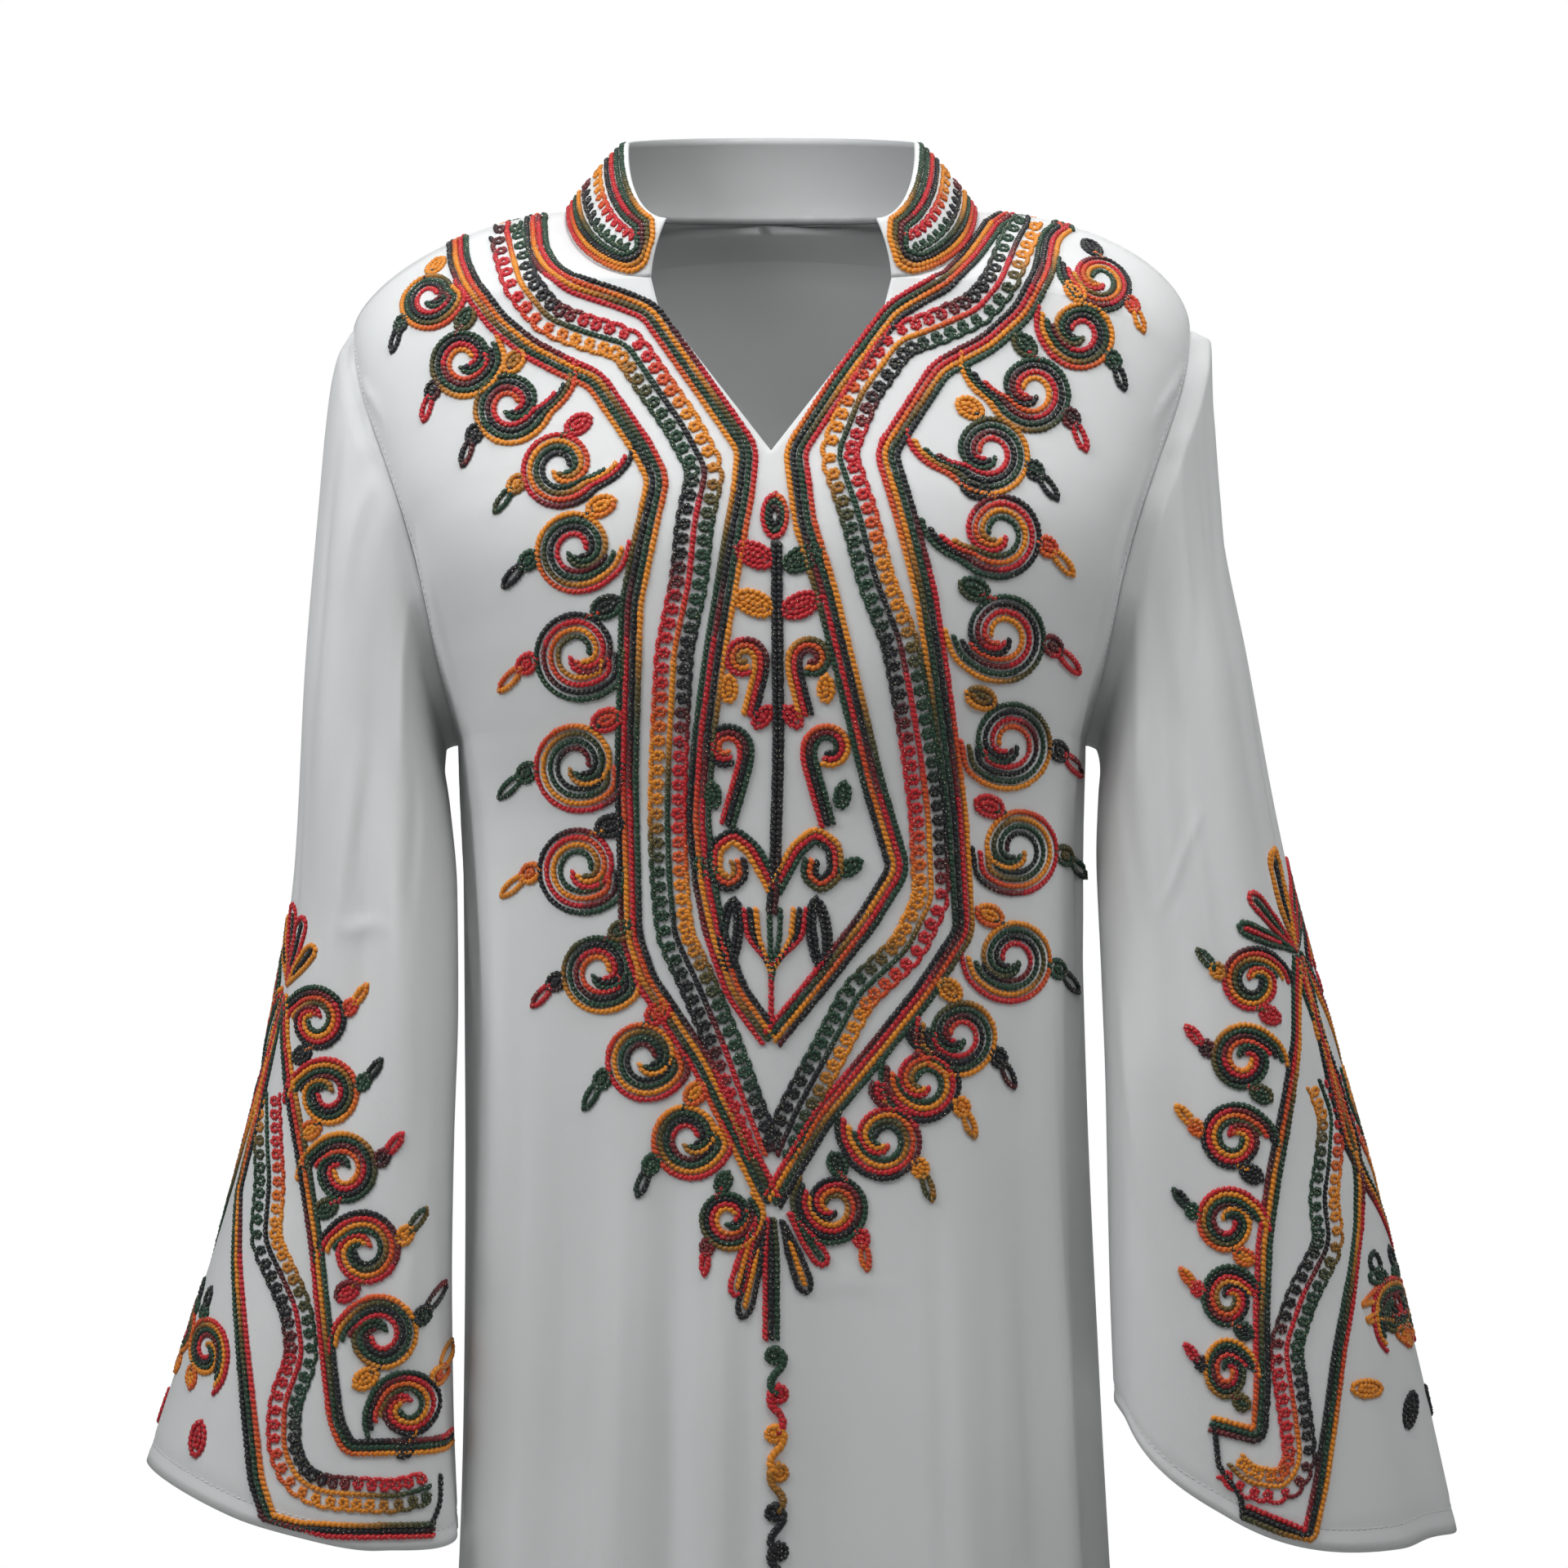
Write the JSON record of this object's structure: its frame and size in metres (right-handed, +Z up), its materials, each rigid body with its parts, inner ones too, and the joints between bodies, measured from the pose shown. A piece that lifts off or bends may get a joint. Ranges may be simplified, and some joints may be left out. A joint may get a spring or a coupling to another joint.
{
  "type": "abaya",
  "caption": "Long white robe with a stand collar, a slit neck and bell sleeves, with rope-like embroidery round the neck, down the front and on the sleeves, in the form it has when worn.",
  "frame": {"origin": "middle of the neck, level with the tops of the shoulder seams, where the robe rests on the wearer's shoulders", "axes": "+Z up the wearer's body, +X to the wearer's left, so the front faces -Y"},
  "size_m": [0.737, 0.3692, 1.4411],
  "materials": {
    "cloth_white": "white soft satin-backed crepe with a low sheen",
    "thread_red": "red embroidery thread with a fine metallic strand",
    "thread_orange": "orange embroidery thread with a fine metallic strand",
    "thread_green": "dark green embroidery thread with a fine metallic strand",
    "thread_black": "near-black embroidery thread with a fine metallic strand",
    "thread_gold": "fine metallic strand that glints along the embroidery rows"
  },
  "bodies": {
    "root": {"front": "cloth_white", "back": "cloth_white", "sleeve_right": "cloth_white", "sleeve_left": "cloth_white", "collar": "cloth_white"}
  },
  "joints": []
}
